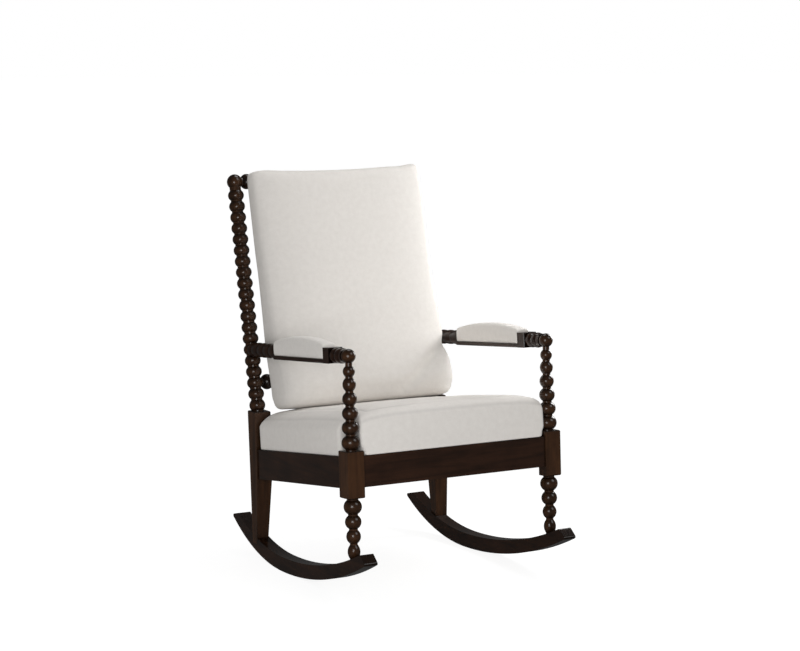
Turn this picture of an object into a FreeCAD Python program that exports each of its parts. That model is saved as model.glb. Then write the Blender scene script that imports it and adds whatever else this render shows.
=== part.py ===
"""Upholstered rocking chair with bobbin-turned posts, arms and back rails.

Frame: +Z up, the chair faces -Y, left is the side at -X. The origin lies on the floor, under the
middle of the chair's outer box. All lengths are in millimetres, all angles in degrees.
"""
import FreeCAD, Part
import math
import os

V = FreeCAD.Vector
X_AXIS = V(1, 0, 0)
Z_AXIS = V(0, 0, 1)
OVERRUN = 40.0                 # how far a cutting tool runs past what it cuts
SLIP = 0.15                    # radial play of a tenon, dowel or screw in its hole
SOFT_GAP = 0.3                 # clearance between padding and what it lies against
ALONG_SHARE = 0.97             # cosine above which an edge counts as running along an axis

# Driving dimensions of the frame
front_post_spacing = 605.0     # between the axes of the front posts
back_post_spacing = 569.0      # between the axes of the back posts
post_block = 48.0              # side of the square blocks that take the seat rails
front_lean = 3.1               # backward lean of the front posts
back_lean = 12.0               # backward lean of the turned back posts
seat_slope = 7.2               # fall of the seat rails towards the back
seat_rail_front_height = 379.0 # top of the front rail above the floor
seat_rail_width = 82.0         # depth of the seat rails
seat_rail_thickness = 22.0
rail_setback = 4.0             # rails lie this far behind the faces of the blocks

# Driving dimensions of the rockers
rocker_rest = 395.0            # from the front post's foot back to the line that touches the floor
rocker_front_tip = 89.0        # from the front post's foot forward to the tip
rocker_back_tip = 714.0        # from the front post's foot back to the other tip
rocker_front_rise = 115.0      # height of the running edge at the front tip
rocker_back_rise = 99.0        # height of the running edge at the back tip
rocker_flattening = 36.0       # added to the radii for the upper edge, so the ends grow slender
rocker_middle_height = 40.0    # depth of the rocker over the line of rest
rocker_thickness = 38.0
rocker_front_cut = 28.0        # run of the slanting cut on the front tip
rocker_back_cut = 40.0         # run of the flatter cut on the back tip
rocker_tip_round = 5.0
rocker_foot_spacing = 578.0    # between the rockers' middles where the back legs stand

# Driving dimensions of the front posts, measured along the post from the floor
foot_bead_low = 113.0          # underside of the lowest bead
foot_bead_count = 4
foot_collar = 5.8              # between the highest of these beads and the block
foot_bead_small = 33.0         # diameter of the lowest bead
foot_bead_large = 47.3         # diameter of the bead under the block
block_below_rail = 27.0        # the block runs this far below and above the front rail
block_above_rail = 13.0
block_chamfer = 13.0           # flat on the inner corner, where the hanger bolt enters
block_edge = 2.0               # softened edges of the square blocks
arm_collar = 3.0               # between the block and the first bead above it
arm_bead_pitch = 37.0
arm_bead_count = 6
arm_top_bead_height = 30.5     # height of the small bead under the ball
arm_bead_large = 48.6          # diameter of the bead on the block
arm_bead_small = 31.3          # diameter of the bead under the ball
ball_diameter = 37.6           # ball that takes the arm
ball_rise = 23.5               # from the end of the last bead to the ball's middle
bead_fillet = 4.4              # length of the plain neck between two beads
neck_share = 0.57              # neck between two beads, as a share of their mean diameter
collar_diameter = 30.0         # short neck between a block and the next bead
foot_neck_diameter = 22.0
foot_tenon_diameter = 18.0
foot_tenon_depth = 24.0

# Driving dimensions of the back posts
back_turning_rise = 34.0       # from the front rail's top up to the back block's top
back_turning_setback = 586.5   # the same point, behind the front post's foot
back_bead_pitch = 30.9
back_bead_count = 20
back_bead_diameter = 44.3
back_neck_diameter = 31.6
finial_diameter = 43.0
finial_rise = 37.9             # from the last bead's middle to the finial's middle
back_block_depth = 45.0        # front to back
back_bend_rise = 30.0          # from the rails' lower edge up to where the leg leaves the block's slant
back_block_bend_setback = 567.5
back_leg_foot_depth = 27.0
back_leg_foot_width = 34.0
back_leg_foot_setback = 562.5

# Driving dimensions of the turned arms and back rails
arm_ring_diameter = 41.0
arm_groove_diameter = 35.5
arm_back_ring_count = 5
arm_front_ring_count = 2
arm_pad_start = 104.0          # from the ball's middle back to the pad
arm_pad_length = 302.0
arm_front_ring = 24.0          # pitch of the front rings
arm_block_length = 32.0        # square block between the front rings and the pad
arm_bed_drop = 10.5            # from the arm's axis down to the flat bed of the pad
arm_bed_width = 42.0
tenon_diameter = 18.0
tenon_depth = 12.0             # how far a tenon passes the middle of the neck it enters
arm_joint_bead = 5             # bead that takes the arm, counted up from the block
back_rail_joint_bead = 2       # bead that takes the lower back rail
cross_rail_bead_diameter = 43.0
cross_rail_neck_diameter = 31.0
cross_rail_end_neck = 24.7
cross_rail_bead_count = 17
cross_rail_bead_pitch = 31.0

# Driving dimensions of the padding
seat_front_height = 118.0      # padding over the front rail
seat_back_height = 92.0        # padding over the back rail
seat_crown = 12.0              # how far the top swells above its edges
seat_corner_round = 40.0
seat_front_overlap = 2.0       # the padding stands this far in front of the front rail
seat_board_thickness = 15.0
seat_board_inset = 9.0
back_side_gap = 23.0           # from the axis of a back post in to the side of the padding
back_bottom_lift = -4.0        # lower end of the back padding, from the start of the posts' turning
back_top_rise = 18.55          # padding above the axis of the top back rail
back_thickness = 152.0         # at the swell above the seat
outside_back_thickness = 3.0
back_frame_thickness = 22.0
back_frame_rail = 60.0         # upper and lower members, which take the screws
back_frame_stile = 40.0
back_frame_side_margin = 30.0  # padding rolled round the sides and the bottom of the frame
back_frame_top_margin = 10.0
arm_pad_side_height = 32.0
arm_pad_crown = 13.0           # rise of the pad's top along its length
arm_pad_top_round = 11.0       # rise of the pad's top across its width
arm_pad_width = 44.0
arm_board_thickness = 6.0
arm_board_inset = 5.0

# Derived places shared by several pieces
front_x = front_post_spacing / 2
back_x = back_post_spacing / 2
half_block = post_block / 2
rocker_front_reach = rocker_rest + rocker_front_tip
rocker_back_reach = rocker_back_tip - rocker_rest
rocker_front_radius = (rocker_front_reach ** 2 + rocker_front_rise ** 2) / (2 * rocker_front_rise)
rocker_back_radius = (rocker_back_reach ** 2 + rocker_back_rise ** 2) / (2 * rocker_back_rise)
front_block_bottom = seat_rail_front_height - seat_rail_width - block_below_rail
front_block_height = seat_rail_width + block_below_rail + block_above_rail
foot_bead_pitch = (front_block_bottom - foot_collar - foot_bead_low) / foot_bead_count
arm_bead_start = front_block_bottom + front_block_height + arm_collar
arm_top_bead_start = arm_bead_start + (arm_bead_count - 1) * arm_bead_pitch
back_turning_height = seat_rail_front_height + back_turning_rise
ball_height = arm_top_bead_start + arm_top_bead_height + ball_rise
finial_height = (back_bead_count - 1 / 2) * back_bead_pitch + finial_rise
back_width = back_post_spacing - 2 * back_side_gap
back_length = finial_height + back_top_rise - back_bottom_lift
front_axis = V(0, math.sin(math.radians(front_lean)), math.cos(math.radians(front_lean)))
back_axis = V(0, math.sin(math.radians(back_lean)), math.cos(math.radians(back_lean)))
rail_toe = (front_x - back_x) / back_block_bend_setback
front_rail_face = seat_rail_front_height * math.tan(math.radians(front_lean)) - half_block + rail_setback
back_rail_face = back_block_bend_setback - back_block_depth / 2 + rail_setback


def up_front_post(height):
    """Point on the axis of the front posts, in the side view."""
    return front_axis * height


def up_back_post(height):
    """Point on the axis of the back posts, measured from the start of their turning."""
    return V(0, back_turning_setback, back_turning_height) + back_axis * height


def bead_middle(index):
    """Height of a back post's bead above the start of the turning."""
    return (index + 1 / 2) * back_bead_pitch


def seat_line(setback):
    """Height of the seat rails' top edge behind the front post's foot."""
    return seat_rail_front_height - setback * math.tan(math.radians(seat_slope))


def beads(start, pitch, diameters, share):
    """Outline steps for a row of beads, each followed by a short plain neck."""
    steps = []
    for index, diameter in enumerate(diameters):
        following = diameters[min(index + 1, len(diameters) - 1)]
        neck = share * (diameter + following) / 4
        end = start + pitch * (index + 1)
        steps += [("bead", diameter / 2, neck, end - bead_fillet / 2), ("line", neck, end + bead_fillet / 2)]
    return steps


def ball(middle, diameter, neck):
    """Outline steps for a round ball that stands on a neck."""
    radius = diameter / 2
    seat = middle - math.sqrt(radius ** 2 - neck ** 2)
    return [("line", neck, seat), ("ball", radius, middle, 0, middle + radius)]


def graded(first, last, count):
    """Evenly graded sizes from first to last."""
    return [first + (last - first) * index / (count - 1) for index in range(count)]


def turned(start, steps):
    """Solid of revolution about +Z: 'line' steps go straight, 'bead' and 'ball' steps go in one arc."""
    point = V(0, 0, start)
    edges = []
    for step in steps:
        end = V(step[-2], 0, step[-1])
        if step[0] in ("bead", "ball"):
            crest = V(step[1], 0, step[2] if step[0] == "ball" else (point.z + end.z) / 2)
            edges.append(Part.Arc(point, crest, end).toShape())
        elif (end - point).Length > 0:
            edges.append(Part.LineSegment(point, end).toShape())
        point = end
    top = V(0, 0, point.z)
    if point.x > 0:
        edges.append(Part.LineSegment(point, top).toShape())
    edges.append(Part.LineSegment(top, V(0, 0, start)).toShape())
    return Part.Face(Part.Wire(edges)).revolve(V(), Z_AXIS, 360)


def bar(x0, x1, y0, y1, z0, z1):
    """Box between two corners."""
    return Part.makeBox(x1 - x0, y1 - y0, z1 - z0, V(x0, y0, z0))


def prism(points, sweep):
    """Straight prism over a flat outline."""
    return Part.Face(Part.makePolygon(points + points[:1])).extrude(sweep)


def soften(solid, amount, picked):
    """Chamfer the edges that a test picks."""
    return solid.makeChamfer(amount, [edge for edge in solid.Edges if picked(edge)])


def along(edge, axis):
    """True for a straight edge that runs nearly along an axis."""
    if len(edge.Vertexes) < 2:
        return False
    run = edge.Vertexes[1].Point - edge.Vertexes[0].Point
    return run.Length > 0 and abs(run.dot(axis)) > ALONG_SHARE * run.Length


def aimed(solid, start, end):
    """Turn a solid that stands on +Z so that it runs from one point to another."""
    solid.Placement = FreeCAD.Placement(start, FreeCAD.Rotation(Z_AXIS, end - start))
    return solid


def leaned(solid, lean, origin):
    """Lean a solid backwards about a line through the frame's origin, then move it."""
    solid.rotate(V(), X_AXIS, -lean)
    solid.translate(origin)
    return solid


def largest(shape):
    """The main solid that a cut leaves."""
    return max(shape.Solids, key=lambda solid: solid.Volume)


def mirrored(solid):
    """The same piece for the right-hand side."""
    return solid.mirror(V(), X_AXIS)


def under_rocker(reach):
    """Point on the rocker's running edge, reach behind the line of rest."""
    radius = rocker_front_radius if reach < 0 else rocker_back_radius
    return V(0, rocker_rest + reach, radius - math.sqrt(radius ** 2 - reach ** 2))


def over_rocker(reach):
    """Point on the rocker's upper edge, reach behind the line of rest."""
    radius = rocker_flattening + (rocker_front_radius if reach < 0 else rocker_back_radius)
    return V(0, rocker_rest + reach, rocker_middle_height + radius - math.sqrt(radius ** 2 - reach ** 2))


def make_rocker():
    """Left rocker: two smooth curves, slanting cut ends, toed in towards the back."""
    front, back = -rocker_front_reach, rocker_back_reach
    top_front, top_back = front + rocker_front_cut, back - rocker_back_cut

    def curve(point_at, start, end):
        return Part.Arc(point_at(start), point_at((start + end) / 2), point_at(end)).toShape()

    edges = [curve(under_rocker, front, 0), curve(under_rocker, 0, back),
             Part.LineSegment(under_rocker(back), over_rocker(top_back)).toShape(),
             curve(over_rocker, top_back, 0), curve(over_rocker, 0, top_front),
             Part.LineSegment(over_rocker(top_front), under_rocker(front)).toShape()]
    face = Part.Face(Part.Wire(edges))
    face.translate(V(-rocker_thickness / 2, 0, 0))
    rocker = face.extrude(V(rocker_thickness, 0, 0))
    tips = [edge for edge in rocker.Edges
            if along(edge, X_AXIS) and abs(edge.CenterOfMass.y - rocker_rest) > rocker_thickness]
    rocker = rocker.makeFillet(rocker_tip_round, tips)
    toe = math.atan2(front_x - rocker_foot_spacing / 2, back_leg_foot_setback)
    rocker.rotate(V(), Z_AXIS, -math.degrees(toe))
    rocker.translate(V(-front_x, 0, 0))
    return rocker


def make_front_post():
    """Left front post: beads, square block, beads that dwindle up to the ball for the arm."""
    foot = graded(foot_bead_small, foot_bead_large, foot_bead_count)
    arm = graded(arm_bead_large, arm_bead_small, arm_bead_count)
    collar = collar_diameter / 2
    block_top = front_block_bottom + front_block_height
    rocker_top = over_rocker(-rocker_rest).z
    tenon_end = rocker_top - foot_tenon_depth
    shoulder = rocker_top - foot_tenon_depth / 2
    steps = [("line", foot_tenon_diameter / 2, tenon_end), ("line", foot_tenon_diameter / 2, shoulder),
             ("line", foot_neck_diameter / 2, shoulder), ("line", foot_neck_diameter / 2, foot_bead_low)]
    steps += beads(foot_bead_low, foot_bead_pitch, foot, neck_share)[:-2]
    steps += [("bead", foot_bead_large / 2, collar, foot_bead_low + foot_bead_count * foot_bead_pitch),
              ("line", collar, block_top), ("line", collar, arm_bead_start)]
    steps += beads(arm_bead_start, arm_bead_pitch, arm[:-1], neck_share)
    steps += beads(arm_top_bead_start, arm_top_bead_height, arm[-1:], neck_share)
    steps += ball(ball_height, ball_diameter, neck_share * arm_bead_small / 2)
    spindle = turned(tenon_end, steps)
    block = bar(-half_block, half_block, -half_block, half_block, front_block_bottom, block_top)
    block = soften(block, block_edge, lambda edge: not along(edge, Z_AXIS))
    corner = [V(half_block, half_block, front_block_bottom),
              V(half_block - block_chamfer, half_block, front_block_bottom),
              V(half_block, half_block - block_chamfer, front_block_bottom)]
    block = block.cut(prism(corner, V(0, 0, front_block_height)))
    return leaned(spindle.fuse(block).removeSplitter(), front_lean, V(-front_x, 0, 0))


def make_back_post():
    """Left back post: tapered leg, slanted block, a tall stack of beads and a finial."""
    neck = back_neck_diameter / 2
    steps = [("line", neck, -back_block_depth / 2), ("line", neck, 0)]
    diameters = [back_bead_diameter] * back_bead_count
    steps += beads(0, back_bead_pitch, diameters, back_neck_diameter / back_bead_diameter)
    steps += ball(finial_height, finial_diameter, neck)
    spindle = leaned(turned(-back_block_depth / 2, steps), back_lean, up_back_post(0) - V(back_x, 0, 0))
    outer = -back_x - half_block
    inner = -back_x + half_block
    foot_top = over_rocker(back_leg_foot_setback - rocker_rest).z
    foot_height = foot_top - rocker_middle_height / 2

    def section(height, setback, depth, inner_x):
        front, back = setback - depth / 2, setback + depth / 2
        corners = [V(outer, front, height), V(inner_x, front, height),
                   V(inner_x, back, height), V(outer, back, height)]
        return Part.makePolygon(corners + corners[:1])

    top = section(back_turning_height, back_turning_setback - back_bead_pitch / 4, back_block_depth, inner)
    bend_height = seat_line(back_block_bend_setback) - seat_rail_width + back_bend_rise
    bend = section(bend_height, back_block_bend_setback, back_block_depth, inner)
    foot = section(foot_height, back_leg_foot_setback, back_leg_foot_depth, outer + back_leg_foot_width)
    block = Part.makeLoft([top, bend], True, True).fuse(Part.makeLoft([bend, foot], True, True))
    block = soften(block, block_edge, lambda edge: edge.BoundBox.ZMin > back_turning_height - SLIP)
    return block.fuse(spindle).removeSplitter()


def back_tenon(play):
    """Round tenon under the left back leg, or its socket when some play is added."""
    foot_top = over_rocker(back_leg_foot_setback - rocker_rest).z
    middle = (back_leg_foot_width - post_block) / 2 - back_x
    bottom = foot_top - foot_tenon_depth - play
    start = V(middle, back_leg_foot_setback, bottom)
    return Part.makeCylinder(foot_tenon_diameter / 2 + play, 2 * foot_tenon_depth, start)


def make_arm(start, end):
    """Left arm: a turned bar with ringed ends and a flat bed for the pad; runs from ball to post."""
    length = (end - start).Length
    ring, groove = arm_ring_diameter / 2, arm_groove_diameter / 2
    tenon = tenon_diameter / 2
    back_start = arm_pad_start + arm_pad_length
    back_pitch = (length - back_start) / arm_back_ring_count
    block_start = arm_pad_start - arm_block_length
    front_start = block_start - arm_front_ring * arm_front_ring_count

    def rings(base, pitch, count):
        return [("bead", ring, groove, base + pitch * (index + 1)) for index in range(count)]

    steps = [("line", tenon, tenon_depth / 2), ("line", tenon, tenon_depth), ("line", groove, tenon_depth),
             ("line", groove, front_start)]
    steps += rings(front_start, arm_front_ring, arm_front_ring_count)
    front = turned(tenon_depth / 2, steps)
    block = bar(-arm_bed_width / 2, arm_bed_width / 2, -ring, ring, block_start, arm_pad_start)
    block = soften(block, block_edge / 2, lambda edge: edge.BoundBox.ZMax < arm_pad_start - SLIP)
    post_face = length - back_neck_diameter / 4
    steps = [("line", ring, back_start), ("line", groove, back_start + (ring - groove))]
    steps += rings(back_start + (ring - groove), back_pitch, arm_back_ring_count - 1)
    steps += [("bead", ring, groove, post_face), ("line", tenon, post_face),
              ("line", tenon, length - tenon_depth / 2)]
    back = turned(back_start, steps)
    bed = bar(-arm_bed_width / 2, arm_bed_width / 2, -ring, -arm_bed_drop, arm_pad_start, back_start)
    low_side = -arm_bed_drop - block_edge
    bed = soften(bed, block_edge, lambda edge: along(edge, Z_AXIS) and edge.BoundBox.YMax < low_side)
    return aim_arm(front.fuse([block, bed, back]).removeSplitter(), start, end)


def aim_arm(solid, start, end):
    """Bring a piece built along +Z, with +Y as its upper side, onto the arm's line."""
    run = end - start
    run.normalize()
    side = run.cross(Z_AXIS)
    side.normalize()
    upper = side.cross(run)
    turn = FreeCAD.Rotation(upper.cross(run), upper, run, "ZXY")
    solid.Placement = FreeCAD.Placement(start, turn)
    return solid


def pad_section(place, half_width, bottom, side, crown):
    """Cross-section of an arm pad: flat base, upright sides, one arc over the top."""
    low_left, low_right = V(-half_width, bottom, place), V(half_width, bottom, place)
    top_left, top_right = V(-half_width, bottom + side, place), V(half_width, bottom + side, place)
    return Part.Wire([Part.LineSegment(low_left, low_right).toShape(),
                      Part.LineSegment(low_right, top_right).toShape(),
                      Part.Arc(top_right, V(0, bottom + side + crown, place), top_left).toShape(),
                      Part.LineSegment(top_left, low_left).toShape()])


# Sections of an arm pad: place along it and swell at that place
arm_pad_shares = ((0, 0), (0.04, 0.2), (0.15, 0.52), (0.3, 0.84), (0.5, 1),
                  (0.7, 0.84), (0.85, 0.52), (0.96, 0.2), (1, 0))


def make_arm_pad(start, end):
    """Left arm pad and the thin board it is built on; the pad swells towards its middle."""
    bottom = -arm_bed_drop + SOFT_GAP
    half = arm_pad_width / 2
    sections = []
    for place_share, swell_share in arm_pad_shares:
        place = arm_pad_start + SOFT_GAP + (arm_pad_length - 2 * SOFT_GAP) * place_share
        pinch = half - arm_board_inset / 4 * swell_share
        sections.append(pad_section(place, pinch, bottom, arm_pad_side_height + arm_pad_crown * swell_share,
                                    arm_pad_top_round * (1 + swell_share) / 2))
    pad = Part.makeLoft(sections, True, True)
    inset = half - arm_board_inset
    board_top = arm_board_thickness - arm_bed_drop
    z0, z1 = arm_pad_start + arm_board_inset, arm_pad_start + arm_pad_length - arm_board_inset
    board = bar(-inset, inset, -arm_bed_drop, board_top, z0, z1)
    room = bar(-inset - SOFT_GAP, inset + SOFT_GAP, -arm_bed_drop - OVERRUN, board_top + SOFT_GAP,
               z0 - SOFT_GAP, z1 + SOFT_GAP)
    return aim_arm(pad.cut(room), start, end), aim_arm(board, start, end)


def make_cross_rail(height):
    """Turned rail between the back posts, beaded from post to post."""
    half_row = cross_rail_bead_count * cross_rail_bead_pitch / 2
    inside = back_x - tenon_depth / 2
    end_neck = cross_rail_end_neck / 2
    tenon = tenon_diameter / 2
    face = back_x - back_neck_diameter / 4
    steps = [("line", tenon, -inside), ("line", tenon, -face), ("line", end_neck, -face),
             ("line", end_neck, -half_row)]
    diameters = [cross_rail_bead_diameter] * cross_rail_bead_count
    neck = cross_rail_neck_diameter / cross_rail_bead_diameter
    steps += beads(-half_row, cross_rail_bead_pitch, diameters, neck)[:-2]
    steps += [("bead", cross_rail_bead_diameter / 2, end_neck, half_row), ("line", end_neck, face),
              ("line", tenon, face), ("line", tenon, inside)]
    rail = turned(-inside, steps)
    centre = up_back_post(height)
    return aimed(rail, centre, centre + X_AXIS)


def above_seat_line():
    """Everything above the plane of the seat rails' top edges."""
    size = 4 * front_post_spacing
    block = bar(-size / 2, size / 2, -size / 2, size / 2, 0, size)
    return leaned(block, seat_slope, V(0, 0, seat_line(0)))


def make_seat_rails(posts):
    """Front, back and left rails, coped to the blocks and bevelled to the seat's plane."""
    lid = above_seat_line()
    face = rail_setback - half_block
    low = seat_rail_front_height - seat_rail_width
    front = bar(-front_x, front_x, face, face + seat_rail_thickness, low, seat_rail_front_height + OVERRUN)
    front = leaned(front, front_lean, V())
    back_top = seat_line(back_rail_face)
    back = bar(-back_x, back_x, back_rail_face, back_rail_face + seat_rail_thickness,
               back_top - seat_rail_width, back_top + OVERRUN)
    outer_front, outer_back = front_x + half_block - rail_setback, back_x + half_block - rail_setback
    outline = [V(-outer_front, 0, 0), V(-outer_back, back_block_bend_setback, 0)]
    outline += [point + V(seat_rail_thickness, 0, 0) for point in reversed(outline)]
    side = prism(outline, V(0, 0, seat_rail_front_height + OVERRUN))
    lower_edge = above_seat_line()
    lower_edge.translate(V(0, 0, -seat_rail_width))
    rails = []
    for rail in (front, back, side.common(lower_edge)):
        rails.append(largest(rail.cut([lid] + posts)))
    return rails


corner_block_leg = 92.0        # along each rail
corner_block_height = 48.0
corner_block_drop = 4.0        # below the seat board
corner_reach = corner_block_leg + half_block


def corner_place(way):
    """Outer corner of a left-hand corner block, inside the rails, and the height of its underside."""
    mid = seat_rail_thickness / 2
    if way > 0:
        corner = V(mid + rail_setback - half_block - front_x, front_rail_face + mid, 0)
    else:
        corner = V(mid + rail_setback - half_block - back_x, back_rail_face + mid, 0)
    rearmost = max(corner.y, corner.y + way * corner_reach)
    corner.z = seat_line(rearmost) - corner_block_drop - corner_block_height
    return corner


def make_corner_block(way, neighbours):
    """Left-hand corner block, at the front or the back, fitted between rails and post."""
    corner = corner_place(way)
    outline = [corner, corner + V(corner_reach, 0, 0), corner + V(0, way * corner_reach, 0)]
    return largest(prism(outline, V(0, 0, corner_block_height)).cut(neighbours))


def seat_section(setback, half_width, height, crown, corner):
    """Cross-section of the seat padding: flat base, slightly drawn-in sides, rounded shoulders, crown."""
    waist = half_width - seat_board_inset / 3
    shoulder = height - corner
    tilt = corner * (1 - math.sqrt(1 / 2))

    def half(sign):
        low = V(sign * half_width, setback, 0)
        edge = V(sign * half_width, setback, shoulder)
        turn = V(sign * (half_width - tilt), setback, height - tilt)
        top = V(sign * (half_width - corner), setback, height)
        side = Part.Arc(low, V(sign * waist, setback, shoulder / 2), edge).toShape()
        return low, top, side, Part.Arc(edge, turn, top).toShape()

    right_low, right_top, right_side, right_turn = half(1)
    left_low, left_top, left_side, left_turn = half(-1)
    peak = V(0, setback, height + crown)
    return Part.Wire([Part.LineSegment(left_low, right_low).toShape(), right_side, right_turn,
                      Part.Arc(right_top, peak, left_top).toShape(), left_turn, left_side])


# Sections of the seat padding between the front posts and behind them: place, height and crown
seat_front_shares = ((0, 0.93, 0.5), (0.12, 0.965, 0.75), (0.4, 0.99, 0.95), (1, 1, 1))
seat_main_shares = ((0, 1, 1), (0.3, 1, 1), (0.68, 1, 1), (0.84, 0.97, 1), (0.93, 0.9, 0.9),
                    (0.98, 0.78, 0.7), (1, 0.6, 0.4))
seat_notch_gap = 3.0           # between the padding and a post


def seat_part(start, end, front, back, narrow, shares):
    """Run of seat padding between two places; a run narrowed between the posts keeps the same crown."""
    sections = []
    for place_share, height_share, crown_share in shares:
        setback = start + (end - start) * place_share
        fall = (seat_back_height - seat_front_height) * (setback - front) / (back - front)
        height = (seat_front_height + fall) * height_share
        crown = seat_crown * crown_share
        half_width = front_x + half_block - rail_setback - rail_toe * setback
        if narrow:
            radius = ((half_width - seat_corner_round) ** 2 + crown ** 2) / (2 * crown)
            rest = radius - math.sqrt(radius ** 2 - (narrow - seat_corner_round) ** 2)
            half_width, height, crown = narrow, height + crown - rest, rest
        sections.append(seat_section(setback, half_width, height, crown, seat_corner_round))
    return Part.makeLoft(sections, True, True)


def make_seat():
    """Seat padding and its plywood board, notched round the four posts; built flat, then sloped."""
    slant = math.cos(math.radians(seat_slope))
    front = (front_rail_face - seat_front_overlap) / slant
    back = (back_rail_face + seat_rail_thickness) / slant
    edge = front_x + half_block - rail_setback
    post_back = front_rail_face - rail_setback + post_block
    block_front = (back_rail_face - rail_setback) / slant
    step = post_back + seat_notch_gap
    narrow = front_x - half_block - seat_notch_gap
    ahead = seat_part(front, step, front, back, narrow, seat_front_shares)
    behind = seat_part(step, back, front, back, 0, seat_main_shares)
    padding = ahead.fuse(behind).removeSplitter()
    tall = 2 * seat_front_height

    def notches(gap):
        outer = -edge - OVERRUN
        inner_front, inner_back = half_block - front_x + gap, half_block - back_x + gap
        by_front = bar(outer, inner_front, front - OVERRUN, post_back + gap, -OVERRUN, tall)
        by_back = bar(outer, inner_back, block_front - gap, back + OVERRUN, -OVERRUN, tall)
        return [by_front, by_back, mirrored(by_front), mirrored(by_back)]

    def deck(inset, thickness):
        wide_front, wide_back = edge - rail_toe * front - inset, edge - rail_toe * back - inset
        outline = [V(-wide_front, front + inset, 0), V(wide_front, front + inset, 0),
                   V(wide_back, back - inset, 0), V(-wide_back, back - inset, 0)]
        return prism(outline, V(0, 0, thickness)).cut(notches(seat_notch_gap + inset))

    board = deck(seat_board_inset, seat_board_thickness)
    room = deck(seat_board_inset - SOFT_GAP, seat_board_thickness + SOFT_GAP)
    padding = largest(padding.cut(notches(seat_notch_gap)[1::2] + [room]))
    padding.translate(V(0, 0, SOFT_GAP))
    place = V(0, 0, seat_line(0))
    return leaned(padding, seat_slope, place), leaned(board, seat_slope, place)


# Sections of the back padding from bottom to top: place, thickness and width at that place
back_section_shares = ((0, 0.66, 0.98), (0.02, 0.85, 0.995), (0.05, 0.96, 1), (0.09, 1, 1),
                       (0.14, 0.965, 1), (0.22, 0.86, 0.995), (0.31, 0.765, 0.99), (0.41, 0.69, 0.99),
                       (0.52, 0.62, 0.99), (0.64, 0.56, 0.99), (0.77, 0.505, 0.99), (0.92, 0.455, 0.997),
                       (0.975, 0.425, 1), (0.993, 0.37, 1), (1, 0.28, 0.985))
back_edge_share = 0.22         # rounding of the front edges, of the thickness
back_crown = 9.0               # swell of the back's front face across its width


def back_section(height, half_width, thickness, rear):
    """Cross-section of the back padding: flat rear, rounded sides, crowned front."""
    rounding = thickness * back_edge_share
    tilt = rounding * (1 - math.sqrt(1 / 2))
    front = rear - thickness

    def half(sign):
        rear_edge = V(sign * (half_width - rounding / 3), rear, height)
        side_edge = V(sign * half_width, front + rounding, height)
        turn = V(sign * (half_width - tilt), front + tilt, height)
        front_edge = V(sign * (half_width - rounding), front, height)
        side = Part.LineSegment(rear_edge, side_edge).toShape()
        return rear_edge, front_edge, side, Part.Arc(side_edge, turn, front_edge).toShape()

    left_rear, left_front, left_side, left_turn = half(-1)
    right_rear, right_front, right_side, right_turn = half(1)
    peak = V(0, front - back_crown * thickness / back_thickness, height)
    return Part.Wire([Part.LineSegment(left_rear, right_rear).toShape(), right_side, right_turn,
                      Part.Arc(right_front, peak, left_front).toShape(), left_turn, left_side])


def make_back():
    """Back padding, its inner frame and the covered outside back, all square to the back posts."""
    rear = -cross_rail_bead_diameter / 2 - SOFT_GAP
    inside = rear - outside_back_thickness
    half = back_width / 2
    sections = []
    for place_share, thickness_share, width_share in back_section_shares:
        sections.append(back_section(back_bottom_lift + back_length * place_share, half * width_share,
                                     back_thickness * thickness_share, inside))
    padding = Part.makeLoft(sections, True, True)
    low = back_bottom_lift + back_frame_side_margin
    high = back_bottom_lift + back_length - back_frame_top_margin
    wide = half - back_frame_side_margin
    front = inside - back_frame_thickness
    frame = bar(-wide, wide, front, inside, low, high)
    open_wide = wide - back_frame_stile
    middle, half_member = (low + high) / 2, back_frame_stile / 2
    bays = [(low + back_frame_rail, middle - half_member), (middle + half_member, high - back_frame_rail)]
    for bottom, top in bays:
        frame = frame.cut(bar(-open_wide, open_wide, front - OVERRUN, inside + OVERRUN, bottom, top))
    room = bar(-wide - SOFT_GAP, wide + SOFT_GAP, front - SOFT_GAP, inside + OVERRUN,
               low - SOFT_GAP, high + SOFT_GAP)
    outside = bar(-wide, wide, inside, rear, low, high)
    place = up_back_post(0)
    return [leaned(piece, back_lean, place) for piece in (padding.cut(room), frame, outside)]


hanger_bolt_diameter = 8.0
hanger_nut_width = 16.0
hanger_nut_height = 7.0
hanger_washer_diameter = 20.0
hanger_washer_thickness = 2.0
hanger_bolt_in_post = 30.0
hanger_bolt_spare = 9.0        # thread that shows past the nut


def make_hanger_bolt():
    """Hanger bolt of the left front corner, its washer and nut, and the hole for it."""
    diagonal = V(1, 1, 0)
    diagonal.normalize()
    corner = corner_place(1)
    height = corner.z + corner_block_height / 2
    axis_point = V(-front_x, height * math.tan(math.radians(front_lean)), height)
    chamfer_reach = (post_block - block_chamfer) * math.sqrt(1 / 2)
    start = axis_point + diagonal * (chamfer_reach - hanger_bolt_in_post)
    inner_face = corner + V(corner_reach / 2, corner_reach / 2, 0)
    washer_start = start + diagonal * (inner_face - start).dot(diagonal)
    nut_start = washer_start + diagonal * hanger_washer_thickness
    end = nut_start + diagonal * (hanger_nut_height + hanger_bolt_spare)
    radius, length = hanger_bolt_diameter / 2, (end - start).Length
    bolt = Part.makeCylinder(radius, length, start, diagonal)
    hole = Part.makeCylinder(radius + SLIP, length + SLIP, start - diagonal * SLIP, diagonal)
    corner_radius = hanger_nut_width / math.sqrt(3)
    turns = [math.radians(60 * index) for index in range(6)]
    hexagon = [V(corner_radius * math.cos(turn), corner_radius * math.sin(turn), 0) for turn in turns]
    nut = aimed(prism(hexagon, V(0, 0, hanger_nut_height)), nut_start, end)
    washer = Part.makeCylinder(hanger_washer_diameter / 2, hanger_washer_thickness, washer_start, diagonal)
    return bolt, washer.fuse(nut).cut(hole), hole


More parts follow.
